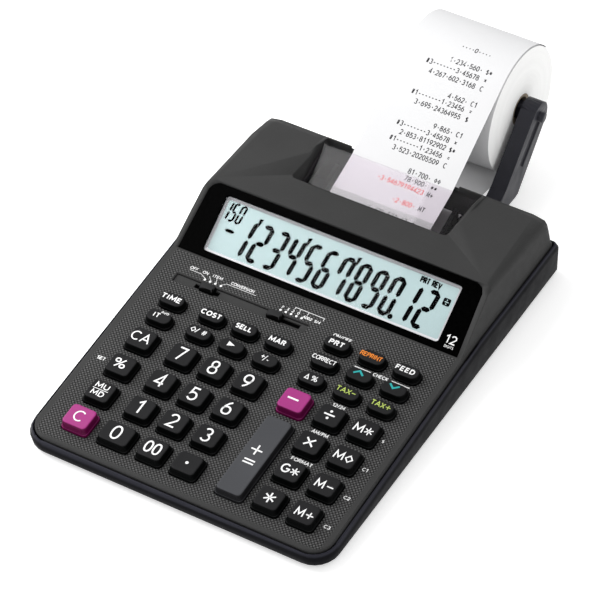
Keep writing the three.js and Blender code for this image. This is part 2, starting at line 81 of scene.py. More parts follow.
# ---------------------------------------------------------------- camera
AZ, EL, ROLL = 0.5934549052016542, 0.797890150482993, -0.06850274065589339
FOCAL, CX, CY, DIST = 3596.8753697957336, 293.29448666346, 324.7546949261917, 1682.812386482551
back = Vector((math.sin(AZ) * math.cos(EL), -math.cos(AZ) * math.cos(EL), math.sin(EL)))
right = Vector((math.cos(AZ), math.sin(AZ), 0))
up = back.cross(right)
r2 = math.cos(ROLL) * right + math.sin(ROLL) * up
u2 = -math.sin(ROLL) * right + math.cos(ROLL) * up
eye = pt(0, 0, 20) + back * DIST * MM
cam_data = bpy.data.cameras.new("camera")
cam_data.sensor_width = 36
cam_data.lens = FOCAL / 600 * 36
cam_data.shift_x = (300 - CX) / 600
cam_data.shift_y = (CY - 300) / 600
cam_data.clip_start = 0.05
cam_data.clip_end = 50
cam = bpy.data.objects.new("camera", cam_data)
bpy.context.scene.collection.objects.link(cam)
m = Matrix((r2, u2, back)).transposed().to_4x4()
m.translation = eye
cam.matrix_world = m
bpy.context.scene.camera = cam
bpy.context.scene.view_settings.view_transform = "Standard"
bpy.context.scene.view_settings.look = "None"


# ---------------------------------------------------------------- materials
def srgb(r, g, b):
    """0-255 sRGB to linear rgba"""
    def lin(c):
        c /= 255
        return c / 12.92 if c <= 0.04045 else ((c + 0.055) / 1.055) ** 2.4
    return (lin(r), lin(g), lin(b), 1.0)


class Tree:
    def __init__(self, name):
        self.mat = bpy.data.materials.new(name)
        self.mat.use_nodes = True
        self.t = self.mat.node_tree
        self.t.nodes.clear()
        self.out = self.t.nodes.new("ShaderNodeOutputMaterial")
        self.co = self.node("ShaderNodeTexCoord").outputs["Object"]

    def node(self, kind, **props):
        n = self.t.nodes.new(kind)
        for k, v in props.items():
            setattr(n, k, v)
        return n

    def link(self, a, b):
        self.t.links.new(a, b)

    def put(self, sock, v):
        if hasattr(v, "is_output"):
            self.link(v, sock)
        else:
            sock.default_value = v

    def math(self, op, a, b=0.0, c=None, clamp=False):
        n = self.node("ShaderNodeMath", operation=op, use_clamp=clamp)
        self.put(n.inputs[0], a)
        self.put(n.inputs[1], b)
        if c is not None:
            self.put(n.inputs[2], c)
        return n.outputs[0]

    def noise(self, scale, detail=2.0, rough=0.5, vector=None):
        n = self.node("ShaderNodeTexNoise")
        self.put(n.inputs["Vector"], vector or self.co)
        n.inputs["Scale"].default_value = scale
        n.inputs["Detail"].default_value = detail
        n.inputs["Roughness"].default_value = rough
        return n.outputs["Fac"]

    def remap(self, v, a, b, c, d, smooth=False):
        n = self.node("ShaderNodeMapRange")
        if smooth:
            n.interpolation_type = "SMOOTHSTEP"
        self.put(n.inputs["Value"], v)
        for i, x in zip((1, 2, 3, 4), (a, b, c, d)):
            n.inputs[i].default_value = x
        return n.outputs["Result"]

    def mix(self, f, a, b):
        n = self.node("ShaderNodeMix", data_type="RGBA")
        self.put(n.inputs[0], f)
        self.put(n.inputs[6], a)
        self.put(n.inputs[7], b)
        return n.outputs[2]

    def xyz(self, v=None):
        n = self.node("ShaderNodeSeparateXYZ")
        self.put(n.inputs[0], v or self.co)
        return n.outputs

    def bump(self, height, dist, strength=1.0, normal=None):
        n = self.node("ShaderNodeBump")
        self.put(n.inputs["Height"], height)
        n.inputs["Distance"].default_value = dist
        n.inputs["Strength"].default_value = strength
        if normal is not None:
            self.link(normal, n.inputs["Normal"])
        return n.outputs["Normal"]

    def soft(self, radius):
        n = self.node("ShaderNodeBevel", samples=4)
        n.inputs["Radius"].default_value = radius
        return n.outputs["Normal"]

    def shade(self, color, rough, normal=None, spec=0.5, **extra):
        p = self.node("ShaderNodeBsdfPrincipled")
        self.put(p.inputs["Base Color"], color)
        self.put(p.inputs["Roughness"], rough)
        p.inputs["Specular IOR Level"].default_value = spec
        for k, v in extra.items():
            p.inputs[k.replace("_", " ")].default_value = v
        if normal is not None:
            self.link(normal, p.inputs["Normal"])
        self.link(p.outputs[0], self.out.inputs[0])
        return p


def plastic(name, rgb, rough=0.45, grain=0.000012, size=0.00035, vary=0.07, edge=0.00025, spec=0.5, side=None, turn=(0.55, 0.93)):
    """satin moulded plastic: spark-eroded grain, slight tone and gloss variation, soft edges.
    side is painted shade: a darker tone blended in by the surface normal, so steep walls come out darker than the tops;
    turn sets the normal-z range of that blend"""
    t = Tree(name)
    fine = t.noise(1 / size, 3, 0.6)
    broad = t.noise(45, 2, 0.5)
    tone = t.math("MULTIPLY", t.remap(broad, 0.3, 0.7, 1 - vary, 1 + vary), t.remap(fine, 0.25, 0.75, 1 - vary, 1 + vary))
    base = srgb(*rgb)
    # painted shade: walls blend towards the darker side tone as their normal turns away from up
    if side is not None:
        nz = t.xyz(t.node("ShaderNodeNewGeometry").outputs["Normal"])[2]
        base = t.mix(t.remap(nz, turn[0], turn[1], 0, 1, True), srgb(*side), base)
    col = t.node("ShaderNodeVectorMath", operation="SCALE")
    t.put(col.inputs[0], base if hasattr(base, "is_output") else base[:3])
    t.link(tone, col.inputs["Scale"])
    r = t.remap(t.noise(150, 2), 0.3, 0.7, rough - 0.05, rough + 0.05)
    n = t.soft(edge) if edge else None
    n = t.bump(fine, grain, 1.0, n)
    t.shade(col.outputs[0], r, n, spec)
    return t.mat


def case_top():
    """key panel with a diagonal woven relief; hump, sides and switch strip in a plain satin grain"""
    t = Tree("case_top")
    x, y, z = t.xyz()
    nrm = t.xyz(t.node("ShaderNodeNewGeometry").outputs["Normal"])
    k = math.pi * 0.54 * 1000
    a = t.math("SINE", t.math("MULTIPLY", t.math("ADD", x, y), k))
    b = t.math("SINE", t.math("MULTIPLY", t.math("SUBTRACT", x, y), k))
    # bright diamonds between two families of dark grooves
    ga = t.remap(t.math("ABSOLUTE", a), 0.10, 0.75, 0, 1, True)
    gb = t.remap(t.math("ABSOLUTE", b), 0.10, 0.75, 0, 1, True)
    cell = t.math("MULTIPLY", ga, gb)
    over = t.remap(t.math("MULTIPLY", a, b), -0.6, 0.6, 0.72, 1.0, True)   # threads pass over and under
    weave = t.math("MULTIPLY", cell, over)
    # where the weave is: flat top of the panel, inside its rim, and not in the switch strip
    flat = t.remap(nrm[2], 0.985, 0.995, 0, 1)
    edge_x = t.remap(t.math("ABSOLUTE", x), 0.0762, 0.0770, 1, 0)
    edge_y = t.remap(y, -0.1520, -0.1512, 0, 1)
    top_y = t.remap(y, (FOOT[0] + SY) * MM - 0.0007, (FOOT[0] + SY) * MM - 0.0002, 1, 0)
    y0, y1 = -110.35 + 111.2 + SY, -110.35 + 116.6 + SY
    strip = t.math("MULTIPLY", t.math("MULTIPLY", t.remap(y, y0 * MM, (y0 + 0.1) * MM, 0, 1), t.remap(y, (y1 - 0.1) * MM, y1 * MM, 1, 0)),
                   t.math("MULTIPLY", t.remap(x, -0.0684, -0.0683, 0, 1), t.remap(x, 0.0050, 0.0051, 1, 0)))
    mask = t.math("MULTIPLY", t.math("MULTIPLY", flat, edge_x), t.math("MULTIPLY", t.math("MULTIPLY", edge_y, top_y), t.math("SUBTRACT", 1.0, strip)))
    fine = t.noise(2600, 3, 0.6)
    broad = t.noise(30, 2)
    tone = t.math("MULTIPLY", t.remap(broad, 0.3, 0.7, 0.94, 1.06), t.remap(fine, 0.25, 0.75, 0.90, 1.10))
    woven = t.mix(weave, srgb(20, 20, 20), srgb(86, 86, 86))
    plain = t.mix(t.remap(t.noise(9000, 2), 0.3, 0.7, 0, 1), srgb(51, 51, 51), srgb(60, 60, 60))
    base = t.mix(mask, plain, woven)
    col = t.node("ShaderNodeVectorMath", operation="SCALE")
    t.link(base, col.inputs[0])
    t.link(tone, col.inputs["Scale"])
    n = t.soft(0.0004)
    n = t.bump(fine, 0.00001, 1.0, n)
    n = t.bump(t.math("MULTIPLY", weave, mask), 0.00008, 1.0, n)
    t.shade(col.outputs[0], t.remap(t.noise(200, 2), 0.3, 0.7, 0.44, 0.54), n, 0.04)
    return t.mat


def glazing(name, tint, low, high, scale=60):
    """clear plastic: light passes straight on with a slight tint, and each face mirrors an uneven little of the room"""
    t = Tree(name)
    tr = t.node("ShaderNodeBsdfTransparent")
    t.link(t.mix(t.remap(t.noise(scale * 6, 2), 0.3, 0.7, 0, 1), tuple(c * 0.99 for c in tint[:3]) + (1,), tint), tr.inputs[0])
    g = t.node("ShaderNodeBsdfGlossy")
    g.inputs["Roughness"].default_value = 0.0
    m = t.node("ShaderNodeMixShader")
    t.put(m.inputs[0], t.remap(t.noise(scale, 2), 0.3, 0.7, low, high))
    t.link(tr.outputs[0], m.inputs[1])
    t.link(g.outputs[0], m.inputs[2])
    t.link(m.outputs[0], t.out.inputs[0])
    return t.mat


def paper(name, rgb, dark=None):
    t = Tree(name)
    fibre = t.noise(1800, 4, 0.65)
    cloud = t.noise(60, 2)
    f = t.math("ADD", t.math("MULTIPLY", fibre, 0.6), t.math("MULTIPLY", cloud, 0.4))
    base = t.mix(t.remap(f, 0.35, 0.65, 0, 1), srgb(*[c * 0.985 for c in rgb]), srgb(*rgb))
    t.shade(base, 0.85, t.bump(fibre, 0.000006), 0.15)
    return t.mat


def lit_roll_end():
    """cut edge of the wound paper: fine uneven rings, in a paler copy of the roll's paper as painted light on the ends
    """
    t = Tree("lit_roll_end")
    c = pt(0, 169.5, 32.0)
    x, y, z = t.xyz()
    dy = t.math("SUBTRACT", y, c.y)
    dz = t.math("SUBTRACT", z, c.z)
    rad = t.math("SQRT", t.math("ADD", t.math("MULTIPLY", dy, dy), t.math("MULTIPLY", dz, dz)))
    comb = t.node("ShaderNodeCombineXYZ")
    t.link(rad, comb.inputs[0])
    rings = t.noise(2600, 3, 0.7, comb.outputs[0])
    bands = t.noise(260, 2, 0.5, comb.outputs[0])
    f = t.math("ADD", t.math("MULTIPLY", rings, 0.5), t.math("MULTIPLY", bands, 0.5))
    # painted light: these tones are far paler than the paper on the wound surface of the roll
    base = t.mix(t.remap(f, 0.3, 0.7, 0, 1), srgb(238, 238, 237), srgb(248, 248, 247))
    t.shade(base, 0.9, t.bump(rings, 0.00004), 0.1)
    return t.mat


def lcd_face():
    t = Tree("lcd_face")
    grain = t.noise(2200, 3, 0.6)
    cloud = t.noise(25, 2)
    base = t.mix(t.remap(grain, 0.3, 0.7, 0, 1), srgb(160, 183, 184), srgb(171, 194, 195))
    base = t.mix(t.remap(cloud, 0.3, 0.7, 0, 0.25), base, srgb(173, 185, 191))
    p = t.shade(base, 0.35, t.bump(grain, 0.000004), 0.3)
    return t.mat


def ink(name, rgb, rough=0.45, spec=0.3):
    """printed legend: slightly uneven ink"""
    t = Tree(name)
    n = t.noise(5200, 2, 0.6)
    t.shade(t.mix(t.remap(n, 0.3, 0.7, 0, 1), srgb(*[c * 0.94 for c in rgb]), srgb(*rgb)), rough, None, spec)
    return t.mat


def tape_print(name, rgb):
    """worn ribbon print: patchy"""
    t = Tree(name)
    n = t.noise(3500, 3, 0.7)
    t.shade(t.mix(t.remap(n, 0.25, 0.75, 0, 1), srgb(*rgb), srgb(*[min(255, c + 45) for c in rgb])), 0.8, None, 0.1)
    return t.mat


def gloss_black(name, rgb=(1, 1, 1)):
    t = Tree(name)
    n = t.noise(700, 3)
    base = t.mix(t.remap(n, 0.3, 0.7, 0, 1), srgb(*rgb), srgb(*[c + 2 for c in rgb]))
    t.shade(base, t.remap(n, 0.3, 0.7, 0.08, 0.12), t.soft(0.0002), 0.004)
    return t.mat


def floor_mat():
    """white table, faintly lit from within"""
    t = Tree("floor")
    n = t.noise(3, 3)
    p = t.shade(t.mix(t.remap(n, 0.3, 0.7, 0, 1), (0.84, 0.84, 0.84, 1), (0.87, 0.87, 0.87, 1)), 0.9, None, 0.1)
    p.inputs["Emission Color"].default_value = (1, 1, 1, 1)
    p.inputs["Emission Strength"].default_value = 0.45
    return t.mat


M = {
    "case_top": case_top(),
    # the side= tones here are painted shade: darker copies of each colour for walls that face away from the light
    "case_bottom": plastic("case_bottom", (45, 45, 52), 0.42, 0.00001, 0.0003, 0.08, 0.0002, 0.03, side=(14, 14, 17), turn=(0.22, 0.40)),
    "key": plastic("key", (32, 32, 33), 0.48, 0.000012, 0.0003, 0.09, 0, 0.04, side=(3, 4, 4)),
    "key_magenta": plastic("key_magenta", (146, 42, 112), 0.42, 0.00001, 0.0003, 0.05, 0, 0.15, side=(84, 2, 54)),
    "key_grey": plastic("key_grey", (64, 65, 68), 0.45, 0.00001, 0.0003, 0.05, 0, 0.08, side=(26, 26, 28)),
    "switch": plastic("switch", (44, 44, 45), 0.45, 0.00001, 0.0003, 0.08, 0, 0.04, side=(4, 4, 4)),
    "holder": plastic("holder", (46, 46, 52), 0.4, 0.000008, 0.0003, 0.08, 0.0003, 0.15),
    "mech": plastic("mech", (9, 9, 10), 0.6, 0.00001, 0.0004, 0.1, 0.0002, 0.03),
    "rubber": plastic("rubber", (10, 10, 10), 0.8, 0.00003, 0.0005, 0.15, 0.0003, 0.1),
    "drum": plastic("drum", (12, 12, 13), 0.6, 0.00001, 0.0004, 0.1, 0.0002, 0.03),
    "felt": plastic("felt", (14, 12, 20), 0.95, 0.00008, 0.0006, 0.25, 0, 0.05),
    "mat": plastic("mat", (20, 20, 21), 0.7, 0.00002, 0.0005, 0.05, 0.0002, 0.1),
    "board": plastic("board", (44, 104, 60), 0.4, 0.00001, 0.001, 0.15, 0, 0.5),
    "foot": plastic("foot_rubber", (22, 22, 23), 0.85, 0.00003, 0.0004, 0.15, 0, 0.1),
    "window": gloss_black("bezel_black"),
    "pane": glazing("pane", (0.995, 0.995, 0.995, 1), 0.002, 0.004),
    "cover": glazing("smoked_cover", (0.937, 0.918, 0.937, 1), 0.012, 0.016),
    # painted shade: tinted sheet over the paper band under the front of the lid
    "strip": glazing("paper_shade_sheet", (0.95, 0.96, 0.95, 1), 0.004, 0.008, 300),
    "lcd": lcd_face(),
    "lcd_frame": plastic("lcd_frame", (206, 206, 209), 0.4, 0.000004, 0.0004, 0.03, 0, 0.2, side=(150, 150, 154), turn=(0.6, 0.95)),
    "segment": ink("lcd_segment", (1, 1, 2), 0.9, 0.02),
    "white": ink("legend_white", (236, 236, 236)),
    "orange": ink("legend_orange", (228, 128, 30)),
    "teal": ink("legend_teal", (14, 152, 152)),
    "lime": ink("legend_lime", (176, 196, 92)),
    # near-black ink for the painted shadow line along the step of the switch strip
    "painted_shadow": ink("painted_shadow_black", (3, 3, 3), 0.7),
    "paper": paper("paper", (213, 213, 214)),
    "roll": paper("roll_paper", (219, 219, 220)),
    "lit_roll_end": lit_roll_end(),
    "core": paper("core_board", (150, 138, 122)),
    "print": tape_print("print_black", (16, 15, 18)),
    "print_red": tape_print("print_red", (206, 66, 62)),
    "floor": floor_mat(),
}


# ---------------------------------------------------------------- mesh tools
def shade_smooth(mesh, degrees):
    for p in mesh.polygons:
        p.use_smooth = True
    mesh.set_sharp_from_angle(angle=math.radians(degrees))


def piece(name, verts, faces, matrix, body, mat, smooth=40, close=False):
    mesh = bpy.data.meshes.new(name)
    mesh.from_pydata([matrix @ Vector(v) for v in verts], [], faces)
    bm = bmesh.new()
    bm.from_mesh(mesh)
    if close:
        bmesh.ops.remove_doubles(bm, verts=bm.verts, dist=1e-7)
    bmesh.ops.recalc_face_normals(bm, faces=bm.faces)
    bm.to_mesh(mesh)
    bm.free()
    mesh.validate()
    shade_smooth(mesh, smooth)
    mesh.materials.append(M[mat])
    ob = bpy.data.objects.new(name, mesh)
    bpy.context.scene.collection.objects.link(ob)
    if body:
        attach(ob, body)
    return ob


def rrect(w, d, r, n=6, cx=0.0, cy=0.0):
    r = max(min(r, w / 2 - 0.01, d / 2 - 0.01), 0.01)
    out = []
    for qx, qy, a0 in ((-1, -1, 180), (1, -1, 270), (1, 1, 0), (-1, 1, 90)):
        for i in range(n + 1):
            a = math.radians(a0 + 90 * i / n)
            out.append((cx + qx * (w / 2 - r) + r * math.cos(a), cy + qy * (d / 2 - r) + r * math.sin(a)))
    return out


def skin(rings, caps=(True, True)):
    n = len(rings[0])
    v = [p for ring in rings for p in ring]
    f = [(k * n + i, k * n + (i + 1) % n, (k + 1) * n + (i + 1) % n, (k + 1) * n + i) for k in range(len(rings) - 1) for i in range(n)]
    if caps[0]:
        f.append(tuple(range(n))[::-1])
    if caps[1]:
        f.append(tuple(range((len(rings) - 1) * n, len(rings) * n)))
    return v, f


def join(parts):
    v, f = [], []
    for pv, pf in parts:
        b = len(v)
        v += pv
        f += [tuple(i + b for i in q) for q in pf]
    return v, f


def lathe(profile, n=64):
    """closed turned body about X from (x, radius) pairs; profile itself a closed loop"""
    v, f, k = [], [], len(profile)
    for i in range(n):
        a = 2 * math.pi * i / n
        v += [(x, r * math.cos(a), r * math.sin(a)) for x, r in profile]
    for i in range(n):
        j = (i + 1) % n
        for q in range(k):
            p = (q + 1) % k
            f.append((i * k + q, i * k + p, j * k + p, j * k + q))
    return v, f


# ---------------------------------------------------------------- strokes
def arc(cx, cy, rx, ry, a0, a1, n=14):
    return [(cx + rx * math.cos(math.radians(a0 + (a1 - a0) * i / n)), cy + ry * math.sin(math.radians(a0 + (a1 - a0) * i / n))) for i in range(n + 1)]


def oval(cx, cy, rx, ry, n=28, e=2.25):
    out = []
    for i in range(n):
        a = 2 * math.pi * i / n
        c, s = math.cos(a), math.sin(a)
        out.append((cx + rx * math.copysign(abs(c) ** (2 / e), c), cy + ry * math.copysign(abs(s) ** (2 / e), s)))
    return out + [out[0]]


# glyphs on a cell one unit high: (advance width, [polylines])
G = {
    "0": (.62, [oval(.30, .5, .28, .48)]),
    "1": (.46, [[(.04, .76), (.30, .98), (.30, 0)]]),
    "2": (.60, [arc(.29, .71, .26, .27, 165, -38) + [(.03, .03), (.57, .03)]]),
    "3": (.60, [arc(.28, .745, .235, .235, 150, -90), arc(.28, .265, .27, .25, 88, -150)]),
    "4": (.64, [[(.46, 0), (.46, .97), (.03, .27), (.62, .27)]]),
    "5": (.60, [[(.53, .97), (.13, .97), (.08, .53)] + arc(.28, .32, .28, .30, 128, -150)]),
    "6": (.60, [oval(.30, .30, .27, .29), [(.04, .34), (.10, .58), (.25, .83), (.42, .98)]]),
    "7": (.58, [[(.02, .97), (.55, .97), (.20, 0)]]),
    "8": (.60, [oval(.30, .745, .215, .235), oval(.30, .265, .27, .255)]),
    "9": (.60, [oval(.29, .69, .27, .29), [(.55, .64), (.49, .42), (.34, .17), (.17, .02)]]),
    "A": (.74, [[(.0, 0), (.35, 1), (.70, 0)], [(.12, .33), (.58, .33)]]),
    "B": (.62, [[(.03, 0), (.03, 1), (.30, 1)] + arc(.30, .76, .22, .24, 90, -90) + [(.03, .52)], [(.30, .52)] + arc(.30, .26, .27, .26, 90, -90) + [(.03, 0)]]),
    "C": (.72, [arc(.38, .5, .36, .48, 48, 312, 22)]),
    "D": (.68, [[(.03, 0), (.03, .98), (.24, .98)] + arc(.24, .49, .38, .49, 90, -90, 16) + [(.03, 0)]]),
    "E": (.56, [[(.50, .98), (.03, .98), (.03, .02), (.52, .02)], [(.03, .52), (.44, .52)]]),
    "F": (.54, [[(.50, .98), (.03, .98), (.03, 0)], [(.03, .52), (.42, .52)]]),
    "G": (.76, [arc(.38, .5, .36, .48, 50, 345, 22) + [(.72, .46), (.42, .46)]]),
    "H": (.66, [[(.03, 0), (.03, 1)], [(.60, 0), (.60, 1)], [(.03, .52), (.60, .52)]]),
    "I": (.22, [[(.08, 0), (.08, 1)]]),
    "K": (.62, [[(.03, 0), (.03, 1)], [(.55, 1), (.04, .42)], [(.24, .60), (.58, 0)]]),
    "L": (.54, [[(.03, 1), (.03, .02), (.50, .02)]]),
    "M": (.86, [[(.0, 0), (.07, .98), (.41, .22), (.75, .98), (.82, 0)]]),
    "N": (.68, [[(.03, 0), (.03, .98), (.61, .02), (.61, 1)]]),
    "O": (.78, [oval(.38, .5, .36, .48)]),
    "P": (.60, [[(.03, 0), (.03, .98), (.30, .98)] + arc(.30, .73, .24, .25, 90, -90) + [(.03, .48)]]),
    "R": (.62, [[(.03, 0), (.03, .98), (.30, .98)] + arc(.30, .74, .23, .24, 90, -90) + [(.03, .50)], [(.32, .50), (.56, 0)]]),
    "S": (.58, [arc(.28, .74, .23, .24, 40, 240, 12) + arc(.28, .26, .25, .24, 80, -140, 12)]),
    "T": (.60, [[(0, .98), (.56, .98)], [(.28, .98), (.28, 0)]]),
    "U": (.66, [[(.03, 1)] + arc(.32, .32, .29, .30, 180, 360) + [(.61, 1)]]),
    "V": (.66, [[(0, 1), (.31, 0), (.62, 1)]]),
    "X": (.66, [[(.0, 0), (.58, 1)], [(0, 1), (.58, 0)]]),
    "Z": (.58, [[(.02, .98), (.54, .98), (.02, .02), (.56, .02)]]),
    "%": (.84, [oval(.18, .76, .15, .20, 16), oval(.62, .24, .15, .20, 16), [(.66, 1), (.14, 0)]]),
    "/": (.42, [[(.0, -.05), (.36, 1.05)]]),
    "-": (.46, [[(.04, .46), (.38, .46)]]),
    "+": (.70, [[(.0, .48), (.66, .48)], [(.33, .13), (.33, .83)]]),
    "=": (.70, [[(.06, .64), (.60, .64)], [(.06, .34), (.60, .34)]]),
    "x": (.70, [[(.08, .24), (.58, .74)], [(.08, .74), (.58, .24)]]),
    "*": (.66, [[(.31, .18), (.31, .84)], [(.02, .34), (.60, .68)], [(.02, .68), (.60, .34)]]),
    "#": (.66, [[(.14, .02), (.24, .98)], [(.38, .02), (.48, .98)], [(.02, .34), (.56, .34)], [(.06, .66), (.60, .66)]]),
    "$": (.60, [arc(.28, .70, .22, .19, 40, 240, 10) + arc(.28, .30, .24, .20, 80, -140, 10), [(.28, -.04), (.28, 1.04)]]),
    "o": (.66, [[(.31, .14), (.58, .50), (.31, .86), (.04, .50), (.31, .14)]]),          # lozenge
    "^": (.84, [[(.06, .22), (.40, .74), (.74, .22)]]),
    "v": (.84, [[(.06, .78), (.40, .26), (.74, .78)]]),
    "d": (.76, [[(.02, .04), (.34, .92), (.66, .04), (.02, .04)]]),                        # delta
    ".": (.24, [[(.06, .03), (.12, .03)]]),
    ":": (.30, [[(.05, .45), (.25, .45)]]),                                                # raised point
    "'": (.24, [[(.12, 1), (.05, .76)]]),
    " ": (.40, []),
}


def ribbon(line, width, z0, z1, round_ends=False):
    """closed slab along a polyline"""
    pts = [Vector(p[:2]) for p in line]
    loop = (pts[0] - pts[-1]).length < 1e-6 and len(pts) > 3
    if loop:
        pts = pts[:-1]
    n, h = len(pts), width / 2
    left, rightp = [], []
    for i, p in enumerate(pts):
        a = pts[i - 1] if (loop or i) else None
        b = pts[(i + 1) % n] if (loop or i < n - 1) else None
        d0 = (p - a).normalized() if a is not None else (b - p).normalized()
        d1 = (b - p).normalized() if b is not None else d0
        t = d0 + d1
        if t.length < 1e-6:
            t = d0.copy()
        t.normalize()
        nrm = Vector((-t.y, t.x))
        k = h / max(0.35, nrm.dot(Vector((-d0.y, d0.x))))
        left.append(p + nrm * k)
        rightp.append(p - nrm * k)
    v = [(q.x, q.y, z1) for q in left] + [(q.x, q.y, z1) for q in rightp] + [(q.x, q.y, z0) for q in left] + [(q.x, q.y, z0) for q in rightp]
    f = []
    for i in range(n if loop else n - 1):
        j = (i + 1) % n
        f += [(i, n + i, n + j, j), (2 * n + i, 2 * n + j, 3 * n + j, 3 * n + i), (i, j, 2 * n + j, 2 * n + i), (n + i, 3 * n + i, 3 * n + j, n + j)]
    if not loop:
        f += [(0, 2 * n, 3 * n, n), (n - 1, 2 * n - 1, 4 * n - 1, 3 * n - 1)]
    return v, f


def text(string, height, weight, z0, z1, cx=0.0, cy=0.0, squeeze=1.0, track=0.10, align="c"):
    """stroke lettering, centred on cx, cy, as closed slabs"""
    pen, parts = 0.0, []
    for ch in string:
        adv, lines = G[ch]
        for ln in lines:
            parts.append([(pen + x, y) for x, y in ln])
        pen += adv + track
    width = (pen - track) * height * squeeze
    x0 = cx - (width / 2 if align == "c" else width if align == "r" else 0)
    return join([ribbon([(x0 + x * height * squeeze, cy + (y - 0.5) * height) for x, y in ln], weight, z0, z1) for ln in parts]) if parts else ([], [])


# ---------------------------------------------------------------- case parts
BODY_OF = {n: b for b, nodes in frame["record"]["behaviour"]["bodies"].items() for n in nodes}


def refined(node, mat, angle=32, name=None):
    """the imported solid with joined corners, smooth curves and its own finish"""
    src = frame["nodes"][node]
    bm = bmesh.new()
    bm.from_mesh(src.data)
    bmesh.ops.remove_doubles(bm, verts=bm.verts, dist=2e-6)
    bmesh.ops.recalc_face_normals(bm, faces=bm.faces)
    mesh = bpy.data.meshes.new(name or node + "_shell")
    bm.to_mesh(mesh)
    bm.free()
    shade_smooth(mesh, angle)
    mesh.materials.append(M[mat])
    ob = bpy.data.objects.new(mesh.name, mesh)
    bpy.context.scene.collection.objects.link(ob)
    w = ob.modifiers.new("normals", "WEIGHTED_NORMAL")
    w.keep_sharp = True
    w.weight = 80
    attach(ob, BODY_OF[node])
    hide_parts(node)
    return ob


for node, mat, slot in [
    ("upper_case", "case_top", "case_top"), ("lower_case", "case_bottom", "case_bottom"), ("battery_cover", "case_bottom", "case_bottom"),
    ("roll_holder", "holder", "holder"), ("printer_frame", "mech", "mechanism"), ("platen_roller", "rubber", "roller_rubber"),
    ("print_drum", "drum", "type_drum"), ("ink_roller", "felt", "ink_felt"), ("key_mat", "mat", "mat"), ("main_board", "board", "board"),
    ("lcd_panel", "lcd", "lcd"), ("printer_cover", "cover", "smoked_cover"),
    ("function_switch", "switch", "key_black"), ("decimal_switch", "switch", "key_black"),
]:
    refined(node, mat)

# ---------------------------------------------------------------- keys
COL = {"a0": -59.3, "a1": -37.2, "a2": -19.0, "a3": -0.6, "a4": 24.4, "a5": 43.3, "a6": 61.6}
ROW = {"r0": 71.3, "r1": 53.5, "r2": 35.7, "r3": 17.9, "t0": 110.3, "t1": 98.4, "t2": 86.6}
BIG = dict(w=14.6, d=13.8, r=2.2, tw=11.9, td=10.9)
SMALL = dict(w=14.4, d=8.8, r=3.4, tw=12.2, td=6.5)
Z0, Z1 = 5.55, 5.80           # legends: bottom sunk in the key top, top face just proud


def cap(name, x, s, w, d, r, tw, td, mat, slot, lift=0.0):
    def ring(h, ww, dd, rr):
        return [(px, py, h + (lift * min(1, (h - 2.85) / 1.9) if h > 2.85 else 0)) for px, py in rrect(ww, dd, rr, 7)]
    rt = r * 0.95
    rings = [
        ring(-1.28, w + 1.9, d + 1.9, r + .55), ring(-0.55, w + 1.9, d + 1.9, r + .55), ring(-0.5, w, d, r),
        ring(2.45, w - 0.3, d - 0.3, r), ring(2.62, w - 0.42, d - 0.42, r), ring(2.70, w - 0.75, d - 0.75, r), ring(2.85, w - 0.95, d - 0.95, r),
        ring(4.75, tw + 0.85, td + 0.85, rt + .2), ring(5.20, tw + 0.62, td + 0.62, rt + .1), ring(5.50, tw + 0.28, td + 0.28, rt),
        ring(5.68, tw - 0.12, td - 0.12, rt - .1), ring(5.765, tw - 0.6, td - 0.6, rt - .2), ring(5.78, tw - 1.1, td - 1.1, rt - .4),
        ring(5.755, tw - 2.2, td - 2.2, rt - .6), ring(5.73, tw - 4.0, td - 4.0, .8),
    ]
    v, f = skin(rings)
    ob = piece(name + "_cap", v, f, on_panel(x, s), name, mat, 50)
    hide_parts(name)
    return ob


def legend(name, x, s, parts, mat, body, lift=0.0):
    v, f = join(parts)
    if v:
        ob = piece(name + "_legend", v, f, on_panel(x, s, lift), body, mat, 20)


def T(s, h, wt=.5, cx=-.25, cy=.2, sq=1.0, tr=.12):
    return text(s, h, wt, Z0, Z1, cx, cy, sq, tr)


def dot(cx, cy, r, z0=Z0, z1=Z1, n=18):
    ring = [(cx + r * math.cos(2 * math.pi * i / n), cy + r * math.sin(2 * math.pi * i / n)) for i in range(n)]
    return skin([[(a, b, z0) for a, b in ring], [(a, b, z1) for a, b in ring]])


def line(*pts, wt=.9, z0=Z0, z1=Z1):
    return ribbon(list(pts), wt, z0, z1)


def star(cx, cy, r, wt):
    return join([line((cx - r * math.cos(a), cy - r * math.sin(a)), (cx + r * math.cos(a), cy + r * math.sin(a)), wt=wt) for a in (math.pi / 2, math.pi / 6, -math.pi / 6)])


def lozenge(cx, cy, rx, ry, wt):
    return line((cx, cy - ry), (cx + rx, cy), (cx, cy + ry), (cx - rx, cy), (cx, cy - ry), wt=wt)


def tri(p, z0=Z0, z1=Z1):
    return skin([[(a, b, z0) for a, b in p], [(a, b, z1) for a, b in p]])


